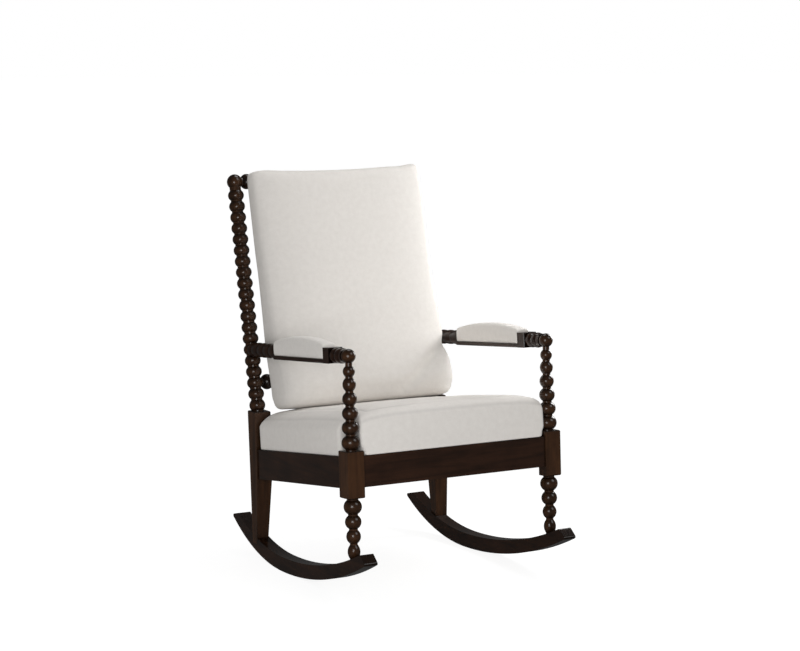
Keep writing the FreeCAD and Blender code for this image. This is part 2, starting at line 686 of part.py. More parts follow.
screw_diameter = 5.0
screw_head_diameter = 10.0
screw_head_height = 3.5


def make_screw(head, tip):
    """Countersunk wood screw from its head's outer face to its tip."""
    length = (tip - head).Length
    steps = [("line", screw_head_diameter / 2, 0), ("line", screw_diameter / 2, screw_head_height),
             ("line", screw_diameter / 2, length - screw_diameter), ("line", 0, length)]
    return aimed(turned(0, steps), head, tip)


def screw_hole(head, tip):
    """Hole for such a screw, with play round it and an open head."""
    length = (tip - head).Length + SLIP
    radius, head_radius = screw_diameter / 2 + SLIP, screw_head_diameter / 2 + SLIP
    steps = [("line", head_radius, -OVERRUN), ("line", head_radius, SLIP),
             ("line", radius, screw_head_height + SLIP), ("line", radius, length)]
    return aimed(turned(-OVERRUN, steps), head, tip)


dowel_diameter = 8.0
dowel_length = 36.0
dowel_place_shares = (0.27, 0.73)   # down the depth of a rail


def dowel_places():
    """Middles and directions of the left-hand dowels, for the front, back and side rails."""
    mid = seat_rail_thickness / 2
    side_run = V(rail_toe, 1, -math.tan(math.radians(seat_slope)))
    side_run.normalize()
    outer = front_x + half_block - rail_setback - mid
    places = {"front_rail": [], "back_rail": [], "side_rail": []}
    for share in dowel_place_shares:
        drop = seat_rail_width * share
        front_height = seat_rail_front_height - drop
        on_lean = front_height * math.tan(math.radians(front_lean))
        front = V(half_block - front_x, on_lean - half_block + rail_setback + mid, front_height)
        places["front_rail"].append((front, X_AXIS))
        back = V(half_block - back_x, back_rail_face + mid, seat_line(back_rail_face) - drop)
        places["back_rail"].append((back, X_AXIS))
        for setback in (on_lean + half_block, back_rail_face - rail_setback):
            end = V(rail_toe * setback - outer, setback, seat_line(setback) - drop)
            places["side_rail"].append((end, side_run))
    return places


def make_dowel(middle, run, play):
    """Dowel across a joint, or its hole when some play is added."""
    length = dowel_length + 2 * play
    return Part.makeCylinder(dowel_diameter / 2 + play, length, middle - run * (length / 2), run)


seat_screw_along_share = 0.62       # place of a seat screw along and across its corner block
seat_screw_across_share = 0.22
pad_screw_shares = (0.2, 0.8)       # along an arm pad
back_screw_shares = (-0.6, 0, 0.6)  # across half the width of the back
top_screw_drop = 25.0               # the upper screws slant down into the frame


def join_feet(rocker, front_post, back_post):
    """Sockets for the tenons in the left rocker; both feet coped to its curve."""
    rocker_top = over_rocker(-rocker_rest).z
    socket_start = up_front_post(rocker_top - foot_tenon_depth - SLIP) - V(front_x, 0, 0)
    bore = foot_tenon_diameter / 2 + SLIP
    socket = Part.makeCylinder(bore, foot_tenon_depth + OVERRUN, socket_start, front_axis)
    back_post = largest(back_post.cut(rocker)).fuse(back_tenon(0)).removeSplitter()
    rocker = rocker.cut([socket, back_tenon(SLIP)])
    return rocker, front_post.cut(rocker), back_post


def screw_pads(start, run, arm, board):
    """Screws that hold the left arm pad from below, and the arm and board drilled for them."""
    upper = run.cross(X_AXIS)
    upper = upper * (1 if upper.z > 0 else -1)
    screws = []
    for share in pad_screw_shares:
        on_axis = start + run * (arm_pad_start + arm_pad_length * share)
        head = on_axis - upper * (arm_ring_diameter / 2)
        tip = on_axis + upper * (arm_board_thickness - arm_bed_drop - SLIP)
        screws.append(make_screw(head, tip))
        arm = arm.cut(screw_hole(head, tip))
        board = board.cut(screw_hole(head, tip))
    return screws, arm, board


def screw_seat(way, block, board):
    """Screw up through a left corner block into the seat board, which is drilled on both sides."""
    corner = corner_place(way)
    place = corner + V(corner_reach * seat_screw_along_share, way * corner_reach * seat_screw_across_share, 0)
    tip = V(place.x, place.y, seat_line(place.y) + seat_board_thickness / 2)
    hole = screw_hole(place, tip)
    return make_screw(place, tip), block.cut(hole), board.cut([hole, mirrored(hole)])


def screw_back(height, drop, rail, outside, frame):
    """Screws through a back rail and the outside back into the hidden frame."""
    forward = back_axis.cross(X_AXIS)
    forward = forward * (1 if forward.y < 0 else -1)
    radius = cross_rail_bead_diameter / 2
    depth = radius + SOFT_GAP + outside_back_thickness + back_frame_thickness - screw_diameter
    screws, holes = [], []
    for share in back_screw_shares:
        pitches = round(back_width / 2 * share / cross_rail_bead_pitch)
        on_axis = up_back_post(height) + X_AXIS * (pitches * cross_rail_bead_pitch)
        head = on_axis - forward * (radius - screw_head_height)
        tip = on_axis + forward * depth - back_axis * drop
        screws.append(make_screw(head, tip))
        holes.append(screw_hole(head, tip))
    return screws, rail.cut(holes), outside.cut(holes), frame.cut(holes)


def build():
    """Make every piece at its place; returns node names with their solids."""
    rocker, front_post, back_post = join_feet(make_rocker(), make_front_post(), make_back_post())

    # Sockets for the arm and the two back rails, then those pieces coped to the posts
    ball_middle = up_front_post(ball_height) - V(front_x, 0, 0)
    joint = up_back_post(bead_middle(arm_joint_bead)) - V(back_x, 0, 0)
    run = joint - ball_middle
    run.normalize()
    bore, inside = tenon_diameter / 2 + SLIP, tenon_depth / 2 - SLIP
    front_post = front_post.cut(Part.makeCylinder(bore, OVERRUN, ball_middle + run * inside, run))
    sockets = [Part.makeCylinder(bore, OVERRUN, joint - run * inside, run * -1)]
    rail_heights = {"lower_back_rail": bead_middle(back_rail_joint_bead), "top_back_rail": finial_height}
    for height in rail_heights.values():
        socket_start = up_back_post(height) + V(inside - back_x, 0, 0)
        sockets.append(Part.makeCylinder(bore, OVERRUN, socket_start, X_AXIS))
    back_post = back_post.cut(sockets)
    posts = [front_post, back_post, mirrored(front_post), mirrored(back_post)]
    arm = largest(make_arm(ball_middle, joint).cut(posts[:2]))
    pad, pad_board = make_arm_pad(ball_middle, joint)
    pad_screws, arm, pad_board = screw_pads(ball_middle, run, arm, pad_board)

    # Seat frame with its dowels, corner blocks and hanger bolts
    front_rail, back_rail, side_rail = make_seat_rails(posts)
    corner_front = make_corner_block(1, [front_rail, side_rail, front_post])
    corner_back = make_corner_block(-1, [back_rail, side_rail, back_post])
    bolt, nut, bolt_hole = make_hanger_bolt()
    corner_front = corner_front.cut(bolt_hole)
    places = dowel_places()
    dowels, holes = [], {}
    for name, spots in places.items():
        dowels += [make_dowel(middle, along_run, 0) for middle, along_run in spots]
        holes[name] = [make_dowel(middle, along_run, SLIP) for middle, along_run in spots]
    front_rail = front_rail.cut(holes["front_rail"] + [mirrored(hole) for hole in holes["front_rail"]])
    back_rail = back_rail.cut(holes["back_rail"] + [mirrored(hole) for hole in holes["back_rail"]])
    side_rail = side_rail.cut(holes["side_rail"])
    front_post = front_post.cut(holes["front_rail"] + holes["side_rail"] + [bolt_hole])
    back_post = back_post.cut(holes["back_rail"] + holes["side_rail"])

    # Upholstered seat and back with their screws
    seat, seat_board = make_seat()
    front_screw, corner_front, seat_board = screw_seat(1, corner_front, seat_board)
    back_screw, corner_back, seat_board = screw_seat(-1, corner_back, seat_board)
    back_padding, back_frame, outside_back = make_back()
    pieces, back_screws = {}, []
    for name, height in rail_heights.items():
        rail = largest(make_cross_rail(height).cut([posts[1], posts[3]]))
        drop = top_screw_drop if height == finial_height else 0
        screws, rail, outside_back, back_frame = screw_back(height, drop, rail, outside_back, back_frame)
        pieces[name] = rail
        back_screws += screws

    sided = {"rocker": rocker, "front_post": front_post, "back_post": back_post, "arm": arm, "arm_pad": pad,
             "arm_pad_board": pad_board, "side_rail": side_rail, "front_corner_block": corner_front,
             "back_corner_block": corner_back}
    for name, solid in sided.items():
        pieces[name + "_left"] = solid
        pieces[name + "_right"] = mirrored(solid)
    pieces.update({"front_rail": front_rail, "back_rail": back_rail, "seat_padding": seat,
                   "seat_board": seat_board, "back_padding": back_padding, "back_frame": back_frame,
                   "outside_back": outside_back})
    groups = {"hanger_bolts": [bolt], "hanger_nuts": [nut], "rail_dowels": dowels,
              "arm_pad_screws": pad_screws, "seat_screws": [front_screw, back_screw]}
    for name, solids in groups.items():
        pieces[name] = Part.makeCompound(solids + [mirrored(solid) for solid in solids])
    pieces["back_panel_screws"] = Part.makeCompound(back_screws)
    return pieces


os.makedirs("parts", exist_ok=True)
nodes = build()
whole = FreeCAD.BoundBox()
for shape in nodes.values():
    whole.add(shape.optimalBoundingBox(False, False))
for node, shape in nodes.items():
    shape.translate(V(0, -whole.Center.y, 0))
    shape.exportStep("parts/" + node + ".step")
    print(node, len(shape.Solids), round(shape.Volume / 1000, 1), shape.isValid())
print("overall", round(whole.XLength), round(whole.YLength), round(whole.ZLength), "moved", -whole.Center.y)
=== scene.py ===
import math
import bmesh
import bpy
import numpy as np
from mathutils import Matrix, Vector


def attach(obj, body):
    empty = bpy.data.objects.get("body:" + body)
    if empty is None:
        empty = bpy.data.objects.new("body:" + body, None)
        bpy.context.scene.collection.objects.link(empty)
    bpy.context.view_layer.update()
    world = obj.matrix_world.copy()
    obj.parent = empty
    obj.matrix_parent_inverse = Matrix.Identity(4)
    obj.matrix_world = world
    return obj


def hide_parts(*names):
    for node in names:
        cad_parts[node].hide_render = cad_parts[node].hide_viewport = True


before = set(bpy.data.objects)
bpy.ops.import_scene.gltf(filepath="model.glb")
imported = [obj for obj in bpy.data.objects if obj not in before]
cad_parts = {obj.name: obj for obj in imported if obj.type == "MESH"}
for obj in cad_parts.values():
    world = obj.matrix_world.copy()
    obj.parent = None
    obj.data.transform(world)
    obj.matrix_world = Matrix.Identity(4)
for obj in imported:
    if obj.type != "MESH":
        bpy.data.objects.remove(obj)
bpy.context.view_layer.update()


# The bare frame: rockers, posts, arms and rails are solid hardwood, turned or sawn, stained a deep
# espresso brown under a satin lacquer. Painted shade darkens the necks of the turning and the corners
# where parts meet, and the stain soaks darker into end grain.
def group_socket(tree, name, kind, way, value=None):
    """Add a named socket to a node group."""
    socket = tree.interface.new_socket(name=name, in_out=way, socket_type=kind)
    if value is not None:
        socket.default_value = value
    return socket


def wood_grain_group():
    """Streaks and pores that run along one axis of Object coordinates."""
    tree = bpy.data.node_groups.new("wood_grain", "ShaderNodeTree")
    group_socket(tree, "Along", "NodeSocketVector", "INPUT", (1.0, 1.0, 1.0))
    group_socket(tree, "Dark", "NodeSocketColor", "INPUT", (0.01, 0.006, 0.004, 1.0))
    group_socket(tree, "Light", "NodeSocketColor", "INPUT", (0.05, 0.02, 0.01, 1.0))
    group_socket(tree, "Color", "NodeSocketColor", "OUTPUT")
    group_socket(tree, "Pores", "NodeSocketFloat", "OUTPUT")
    nodes, links = tree.nodes, tree.links
    given, put = nodes.new("NodeGroupInput"), nodes.new("NodeGroupOutput")
    place = nodes.new("ShaderNodeTexCoord")
    stretch = nodes.new("ShaderNodeVectorMath")
    stretch.operation = "MULTIPLY"
    links.new(place.outputs["Object"], stretch.inputs[0])
    links.new(given.outputs["Along"], stretch.inputs[1])
    streaks = nodes.new("ShaderNodeTexNoise")
    streaks.inputs["Scale"].default_value = 1.0
    streaks.inputs["Detail"].default_value = 7.0
    streaks.inputs["Distortion"].default_value = 0.6
    links.new(stretch.outputs[0], streaks.inputs["Vector"])
    clouds = nodes.new("ShaderNodeTexNoise")
    clouds.inputs["Scale"].default_value = 14.0
    clouds.inputs["Detail"].default_value = 3.0
    links.new(place.outputs["Object"], clouds.inputs["Vector"])
    blend = nodes.new("ShaderNodeMath")
    blend.operation = "MULTIPLY_ADD"
    blend.inputs[1].default_value = 0.65
    links.new(streaks.outputs["Fac"], blend.inputs[0])
    share = nodes.new("ShaderNodeMath")
    share.operation = "MULTIPLY"
    share.inputs[1].default_value = 0.35
    links.new(clouds.outputs["Fac"], share.inputs[0])
    links.new(share.outputs[0], blend.inputs[2])
    spread = nodes.new("ShaderNodeMapRange")
    spread.inputs["From Min"].default_value = 0.26
    spread.inputs["From Max"].default_value = 0.74
    links.new(blend.outputs[0], spread.inputs["Value"])
    colour = nodes.new("ShaderNodeMix")
    colour.data_type = "RGBA"
    links.new(spread.outputs["Result"], colour.inputs["Factor"])
    links.new(given.outputs["Dark"], colour.inputs["A"])
    links.new(given.outputs["Light"], colour.inputs["B"])
    links.new(colour.outputs["Result"], put.inputs["Color"])
    fine = nodes.new("ShaderNodeVectorMath")
    fine.operation = "SCALE"
    fine.inputs["Scale"].default_value = 6.0
    links.new(stretch.outputs[0], fine.inputs[0])
    pores = nodes.new("ShaderNodeTexNoise")
    pores.inputs["Detail"].default_value = 4.0
    pores.inputs["Scale"].default_value = 1.0
    links.new(fine.outputs[0], pores.inputs["Vector"])
    links.new(pores.outputs["Fac"], put.inputs["Pores"])
    return tree


wood_grain = wood_grain_group()


def wood(name, along, dark, light, rough, coat, bump):
    """Wood with its grain along one axis: along holds the pattern's scale on each axis."""
    made = bpy.data.materials.new(name)
    made.use_nodes = True
    nodes, links = made.node_tree.nodes, made.node_tree.links
    shader = nodes["Principled BSDF"]
    grain = nodes.new("ShaderNodeGroup")
    grain.node_tree = wood_grain
    grain.inputs["Along"].default_value = along
    grain.inputs["Dark"].default_value = dark + (1.0,)
    grain.inputs["Light"].default_value = light + (1.0,)
    # Painted shade: ambient occlusion darkens the wood's colour in the necks of the turning and where parts
    # meet.
    crevice_shade = nodes.new("ShaderNodeAmbientOcclusion")
    crevice_shade.samples = 4
    crevice_shade.inputs["Distance"].default_value = 0.018
    painted_crevice_shade = nodes.new("ShaderNodeMapRange")
    painted_crevice_shade.inputs["To Min"].default_value = 0.3
    links.new(crevice_shade.outputs["AO"], painted_crevice_shade.inputs["Value"])
    facing = nodes.new("ShaderNodeNewGeometry")
    ended = nodes.new("ShaderNodeVectorMath")
    ended.operation = "DOT_PRODUCT"
    ended.inputs[1].default_value = tuple(float(scale == min(along)) for scale in along)
    links.new(facing.outputs["Normal"], ended.inputs[0])
    end_grain = nodes.new("ShaderNodeMath")
    end_grain.operation = "ABSOLUTE"
    links.new(ended.outputs["Value"], end_grain.inputs[0])
    soaked = nodes.new("ShaderNodeMapRange")
    soaked.inputs["From Max"].default_value = 0.8
    soaked.inputs["To Min"].default_value = 1.0
    soaked.inputs["To Max"].default_value = 0.35
    links.new(end_grain.outputs[0], soaked.inputs["Value"])
    depth = nodes.new("ShaderNodeMath")
    depth.operation = "MULTIPLY"
    links.new(painted_crevice_shade.outputs["Result"], depth.inputs[0])
    links.new(soaked.outputs["Result"], depth.inputs[1])
    # Grain colour times the painted crevice shade and the darker stain of end grain.
    stain_and_crevice_shade = nodes.new("ShaderNodeVectorMath")
    stain_and_crevice_shade.operation = "SCALE"
    links.new(grain.outputs["Color"], stain_and_crevice_shade.inputs[0])
    links.new(depth.outputs[0], stain_and_crevice_shade.inputs["Scale"])
    links.new(stain_and_crevice_shade.outputs["Vector"], shader.inputs["Base Color"])
    gloss = nodes.new("ShaderNodeMapRange")
    gloss.inputs["To Min"].default_value = rough - 0.06
    gloss.inputs["To Max"].default_value = rough + 0.08
    links.new(grain.outputs["Pores"], gloss.inputs["Value"])
    links.new(gloss.outputs["Result"], shader.inputs["Roughness"])
    eased = nodes.new("ShaderNodeBevel")
    eased.samples = 4
    eased.inputs["Radius"].default_value = 0.0022
    relief = nodes.new("ShaderNodeBump")
    links.new(eased.outputs["Normal"], relief.inputs["Normal"])
    relief.inputs["Strength"].default_value = bump
    relief.inputs["Distance"].default_value = 0.0006
    links.new(grain.outputs["Pores"], relief.inputs["Height"])
    links.new(relief.outputs["Normal"], shader.inputs["Normal"])
    shader.inputs["Specular IOR Level"].default_value = 0.05
    shader.inputs["Coat Weight"].default_value = coat
    shader.inputs["Coat Roughness"].default_value = 0.14
    return made


def finish_nodes(material, *names):
    """Give solids of the frame their finish."""
    for name in names:
        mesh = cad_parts[name].data
        mesh.materials.clear()
        mesh.materials.append(material)


satin = {"rough": 0.33, "coat": 0.7, "bump": 0.04}
upright_wood = wood("espresso_upright", along=(60, 60, 5), dark=(0.013, 0.0062, 0.0034),
                    light=(0.070, 0.030, 0.0125), **satin)
lengthwise_wood = wood("espresso_lengthwise", along=(60, 5, 60), dark=(0.006, 0.003, 0.002),
                       light=(0.036, 0.0145, 0.0065), **satin)
crosswise_wood = wood("espresso_crosswise", along=(5, 60, 60), dark=(0.008, 0.0042, 0.0027),
                      light=(0.040, 0.0165, 0.0085), **satin)
finish_nodes(upright_wood, "front_post_left", "front_post_right", "back_post_left", "back_post_right")
finish_nodes(lengthwise_wood, "rocker_left", "rocker_right", "arm_left", "arm_right",
             "side_rail_left", "side_rail_right")
finish_nodes(crosswise_wood, "front_rail", "back_rail", "lower_back_rail", "top_back_rail")

# Hidden joinery: bare beech corner blocks, back frame and dowels, and birch plywood boards under the
# seat and the arm pads. Nothing here is stained, because the cover and the rails hide it.
bare_beech = wood("bare_beech", along=(5, 70, 70), dark=(0.36, 0.23, 0.12), light=(0.56, 0.40, 0.24),
                  rough=0.62, coat=0.0, bump=0.2)
birch_ply = wood("birch_plywood", along=(6, 40, 90), dark=(0.46, 0.33, 0.19), light=(0.64, 0.50, 0.33),
                 rough=0.6, coat=0.0, bump=0.15)
finish_nodes(bare_beech, "front_corner_block_left", "front_corner_block_right", "back_corner_block_left",
             "back_corner_block_right", "back_frame", "rail_dowels")
finish_nodes(birch_ply, "seat_board", "arm_pad_board_left", "arm_pad_board_right")


# Fasteners: zinc-plated hanger bolts with nuts in the front corners, and countersunk wood screws that
# hold the seat board, the arm pads and the back panel.
def plated_steel():
    """Steel under a faintly mottled coat of zinc."""
    made = bpy.data.materials.new("zinc_plate")
    made.use_nodes = True
    nodes, links = made.node_tree.nodes, made.node_tree.links
    shader = nodes["Principled BSDF"]
    shader.inputs["Metallic"].default_value = 1.0
    place = nodes.new("ShaderNodeTexCoord")
    mottle = nodes.new("ShaderNodeTexNoise")
    mottle.inputs["Scale"].default_value = 260.0
    mottle.inputs["Detail"].default_value = 4.0
    links.new(place.outputs["Object"], mottle.inputs["Vector"])
    tint = nodes.new("ShaderNodeMix")
    tint.data_type = "RGBA"
    tint.inputs["A"].default_value = (0.42, 0.41, 0.38, 1.0)
    tint.inputs["B"].default_value = (0.66, 0.66, 0.63, 1.0)
    links.new(mottle.outputs["Fac"], tint.inputs["Factor"])
    links.new(tint.outputs["Result"], shader.inputs["Base Color"])
    gloss = nodes.new("ShaderNodeMapRange")
    gloss.inputs["To Min"].default_value = 0.28
    gloss.inputs["To Max"].default_value = 0.5
    links.new(mottle.outputs["Fac"], gloss.inputs["Value"])
    links.new(gloss.outputs["Result"], shader.inputs["Roughness"])
    return made


finish_nodes(plated_steel(), "hanger_bolts", "hanger_nuts", "arm_pad_screws", "seat_screws",
             "back_panel_screws")


# Seat: a thick foam pad under plain off-white linen, pulled over the front and sides and tacked to the
# rails, with cut-outs round the posts. The foam crowns a little inside a shallow trough, a seam runs round
# the rim, and every edge is soft. The seam and the trough's inner line carry painted shade in the cover.
def linen_weave_group():
    """Crossed threads with slubs over a piece's own UV in metres, as a height and a faint change of tone."""
    tree = bpy.data.node_groups.new("linen_weave", "ShaderNodeTree")
    group_socket(tree, "Vector", "NodeSocketVector", "INPUT")
    group_socket(tree, "Pale", "NodeSocketColor", "INPUT", (0.8, 0.79, 0.76, 1.0))
    group_socket(tree, "Shade", "NodeSocketColor", "INPUT", (0.7, 0.68, 0.64, 1.0))
    group_socket(tree, "Color", "NodeSocketColor", "OUTPUT")
    group_socket(tree, "Height", "NodeSocketFloat", "OUTPUT")
    nodes, links = tree.nodes, tree.links
    given, put = nodes.new("NodeGroupInput"), nodes.new("NodeGroupOutput")
    threads = []
    for axis in ("X", "Y"):
        band = nodes.new("ShaderNodeTexWave")
        band.bands_direction = axis
        band.inputs["Scale"].default_value = 300.0
        band.inputs["Distortion"].default_value = 1.6
        band.inputs["Detail"].default_value = 2.0
        band.inputs["Detail Scale"].default_value = 0.3
        links.new(given.outputs["Vector"], band.inputs["Vector"])
        threads.append(band)
    height = nodes.new("ShaderNodeMath")
    height.operation = "ADD"
    links.new(threads[0].outputs["Fac"], height.inputs[0])
    links.new(threads[1].outputs["Fac"], height.inputs[1])
    links.new(height.outputs[0], put.inputs["Height"])
    slubs = nodes.new("ShaderNodeTexNoise")
    slubs.inputs["Scale"].default_value = 60.0
    slubs.inputs["Detail"].default_value = 6.0
    slubs.inputs["Roughness"].default_value = 0.65
    links.new(given.outputs["Vector"], slubs.inputs["Vector"])
    tone = nodes.new("ShaderNodeMath")
    tone.operation = "MULTIPLY_ADD"
    tone.inputs[1].default_value = 0.2
    links.new(height.outputs[0], tone.inputs[0])
    links.new(slubs.outputs["Fac"], tone.inputs[2])
    spread = nodes.new("ShaderNodeMapRange")
    spread.inputs["From Min"].default_value = 0.35
    spread.inputs["From Max"].default_value = 1.0
    links.new(tone.outputs[0], spread.inputs["Value"])
    colour = nodes.new("ShaderNodeMix")
    colour.data_type = "RGBA"
    links.new(spread.outputs["Result"], colour.inputs["Factor"])
    links.new(given.outputs["Shade"], colour.inputs["A"])
    links.new(given.outputs["Pale"], colour.inputs["B"])
    links.new(colour.outputs["Result"], put.inputs["Color"])
    return tree


linen_weave = linen_weave_group()


def linen(name, pale, shade, bump):
    """Plain woven cover; a per-point attribute paints shade darker along its sewn lines and its trough."""
    made = bpy.data.materials.new(name)
    made.use_nodes = True
    nodes, links = made.node_tree.nodes, made.node_tree.links
    shader = nodes["Principled BSDF"]
    place = nodes.new("ShaderNodeTexCoord")
    weave = nodes.new("ShaderNodeGroup")
    weave.node_tree = linen_weave
    weave.inputs["Pale"].default_value = pale + (1.0,)
    weave.inputs["Shade"].default_value = shade + (1.0,)
    links.new(place.outputs["UV"], weave.inputs["Vector"])
    seam_and_trough_shade = nodes.new("ShaderNodeAttribute")
    seam_and_trough_shade.attribute_name = "seam_and_trough_shade"
    # Painted shade: the cover's shade colour at 55 percent, mixed in along the seam and the trough's inner
    # line.
    drawn = nodes.new("ShaderNodeMix")
    drawn.data_type = "RGBA"
    drawn.inputs["B"].default_value = tuple(0.55 * tone for tone in shade) + (1.0,)
    links.new(seam_and_trough_shade.outputs["Fac"], drawn.inputs["Factor"])
    links.new(weave.outputs["Color"], drawn.inputs["A"])
    links.new(drawn.outputs["Result"], shader.inputs["Base Color"])
    relief = nodes.new("ShaderNodeBump")
    relief.inputs["Strength"].default_value = bump
    relief.inputs["Distance"].default_value = 0.0004
    links.new(weave.outputs["Height"], relief.inputs["Height"])
    links.new(relief.outputs["Normal"], shader.inputs["Normal"])
    shader.inputs["Roughness"].default_value = 0.88
    shader.inputs["Specular IOR Level"].default_value = 0.2
    shader.inputs["Sheen Weight"].default_value = 0.1
    shader.inputs["Sheen Roughness"].default_value = 0.5
    return made


cover_linen = linen("cover_linen", pale=(0.80, 0.768, 0.728), shade=(0.72, 0.685, 0.645), bump=0.3)


def as_object(name, data):
    """Put a mesh, light or camera into the scene."""
    made = bpy.data.objects.new(name, data)
    bpy.context.scene.collection.objects.link(made)
    return made


def from_shape(name, shape):
    """Turn a drawn shape into a piece."""
    mesh = bpy.data.meshes.new(name)
    shape.to_mesh(mesh)
    shape.free()
    return as_object(name, mesh)


def settle(piece, modifier):
    """Apply a modifier to its piece."""
    bpy.ops.object.select_all(action="DESELECT")
    piece.select_set(True)
    bpy.context.view_layer.objects.active = piece
    bpy.ops.object.modifier_apply(modifier=modifier.name)


def evened(piece, voxel, smoothing):
    """Remesh a closed shape into even quads and take the steps off."""
    remesh = piece.modifiers.new("even", "REMESH")
    remesh.mode = "VOXEL"
    remesh.voxel_size = voxel
    settle(piece, remesh)
    soft = piece.modifiers.new("soft", "SMOOTH")
    soft.factor = 0.5
    soft.iterations = smoothing
    settle(piece, soft)


def corners(mesh):
    """All points of a mesh as rows of x, y and z."""
    flat = np.empty(3 * len(mesh.vertices))
    mesh.vertices.foreach_get("co", flat)
    return flat.reshape(-1, 3)


def stuffed(piece, cap, pressure, held):
    """Swell an even mesh as a cover full of foam; held picks the points where it is tacked down.

    Only the outward part of the swelling is kept, and it is evened out over its neighbours, because this
    cover is drawn smooth over the foam.
    """
    start = corners(piece.data)
    normals = np.array([point.normal for point in piece.data.vertices])
    free = np.array([not held(point.co) for point in piece.data.vertices])
    outward = free * cap
    pins = piece.vertex_groups.new(name="held")
    pins.add([int(index) for index in np.flatnonzero(~free)], 1.0, "REPLACE")
    cloth = piece.modifiers.new("cloth", "CLOTH")
    cloth.settings.quality = 5
    cloth.settings.mass = 0.4
    cloth.settings.tension_stiffness = 18
    cloth.settings.compression_stiffness = 18
    cloth.settings.bending_stiffness = 0.6
    cloth.settings.use_pressure = True
    cloth.settings.uniform_pressure_force = pressure
    cloth.settings.vertex_group_mass = "held"
    cloth.settings.effector_weights.gravity = 0
    cloth.collision_settings.use_collision = False
    last_step = 20
    cloth.point_cache.frame_start, cloth.point_cache.frame_end = 1, last_step
    for step in range(1, last_step + 1):
        bpy.context.scene.frame_set(step)
    settle(piece, cloth)
    bpy.context.scene.frame_set(1)
    outward = np.maximum(0.0, np.sum((corners(piece.data) - start) * normals, axis=1))
    piece.vertex_groups.clear()
    ends = np.empty(2 * len(piece.data.edges), dtype=int)
    piece.data.edges.foreach_get("vertices", ends)
    first, second = ends[::2], ends[1::2]
    links = 1.0 + np.bincount(ends, minlength=len(start))
    evening_passes = 60
    for step in range(evening_passes):
        total = outward.copy()
        np.add.at(total, first, outward[second])
        np.add.at(total, second, outward[first])
        outward = free * total / links
    moved = normals * np.minimum(outward, cap)[:, None]
    piece.data.vertices.foreach_set("co", (start + moved).ravel())
    finer = piece.modifiers.new("finer", "SUBSURF")
    finer.levels = finer.render_levels = 1
    settle(piece, finer)


def covered(piece, material, place):
    """Lay threads over the piece by the way each face looks, then bring it to its place."""
    mesh = piece.data
    layer = mesh.uv_layers.new(name="threads")
    for face in mesh.polygons:
        face.use_smooth = True
        flat = max(range(3), key=lambda axis: abs(face.normal[axis]))
        across, upward = [(1, 2), (0, 2), (0, 1)][flat]
        for corner in face.loop_indices:
            spot = mesh.vertices[mesh.loops[corner].vertex_index].co
            layer.data[corner].uv = (spot[across], spot[upward])
    mesh.transform(place)
    mesh.materials.append(material)
    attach(piece, "root")


def rounded_rim(distance, reach, drop):
    """Drop of a top surface below its full height, near a rim rounded over a reach."""
    inward = min(1.0, max(0.0, 1.0 - distance / reach))
    return drop * (1.0 - math.sqrt(1.0 - inward * inward))


def fade(value, start, end):
    """Smooth step from 0 at start to 1 at end."""
    share = min(1.0, max(0.0, (value - start) / (end - start)))
    return share * share * (3.0 - 2.0 * share)


seat_place = Matrix.Translation((0.0, -0.32797, 0.379)) @ Matrix.Rotation(math.radians(-7.2), 4, "X")
seat_half, seat_run, seat_block = 0.320, 0.571, 0.1
front_half, front_notch = 0.277, 0.051
rear_half, rear_notch = 0.270, 0.543
right_side = [(front_half, 0.0), (front_half, front_notch), (seat_half, front_notch),
              (seat_half, rear_notch), (rear_half, rear_notch), (rear_half, seat_run)]
seat_plan = right_side + [(-x, y) for x, y in reversed(right_side)]
seat_shape = bmesh.new()
low = [seat_shape.verts.new((x, y, 0.0)) for x, y in seat_plan]
high = [seat_shape.verts.new((x, y, seat_block)) for x, y in seat_plan]
seat_shape.faces.new(list(reversed(low)))
seat_shape.faces.new(high)
uprights = []
for index in range(len(low)):
    after = (index + 1) % len(low)
    seat_shape.faces.new((low[index], low[after], high[after], high[index]))
    uprights.append(seat_shape.edges.get((low[index], high[index])))
bmesh.ops.bevel(seat_shape, geom=uprights, offset=0.007, segments=5, profile=0.5, affect="EDGES")
bmesh.ops.recalc_face_normals(seat_shape, faces=seat_shape.faces[:])
seat_cushion = from_shape("seat_cushion", seat_shape)
evened(seat_cushion, voxel=0.0065, smoothing=3)
seat_rise, seat_crown = 0.113, 0.003
back_fall, side_fall, lap_fall, corner_fall = 0.008, 0.005, 0.003, 0.008


def seat_height(x, y):
    """Height of the foam over its board: crowned, and lower at the back, the sides and the front corners."""
    back_share = y / (seat_run + 0.001)
    fall = back_fall * back_share + side_fall * abs(x / seat_half) ** 3 + lap_fall * fade(y, 0.25, 0.38)
    corner = corner_fall * math.exp(-((abs(x) - 0.29) / 0.05) ** 2 - (y / 0.05) ** 2)
    crown = seat_crown * max(0.0, 1.0 - (x / 0.31) ** 2) * max(0.0, 1.0 - (back_share - 0.45) ** 2 / 0.36)
    return seat_rise - fall - corner + crown


def seat_rim(x, y):
    """Drop of the top near its front, rear and side rims."""
    front = rounded_rim(y + 0.002, reach=0.034, drop=0.032)
    rear = rounded_rim(seat_run + 0.001 - y, reach=0.06, drop=0.045)
    return math.hypot(front, rear, rounded_rim(seat_half + 0.004 - abs(x), reach=0.075, drop=0.05))


def seat_held(spot):
    """Whether the cover is tacked to the board or fitted round a post at a point."""
    round_post = abs(spot.x) > 0.266 and not front_notch + 0.005 < spot.y < rear_notch - 0.005
    return spot.z < 0.012 or round_post


seam_drop, seam_width, seam_depth = 0.014, 0.0026, 0.001
trough_front, trough_side, trough_back = 0.046, 0.236, 0.5
trough_width, trough_shade_width, trough_depth = 0.012, 0.005, 0.0028
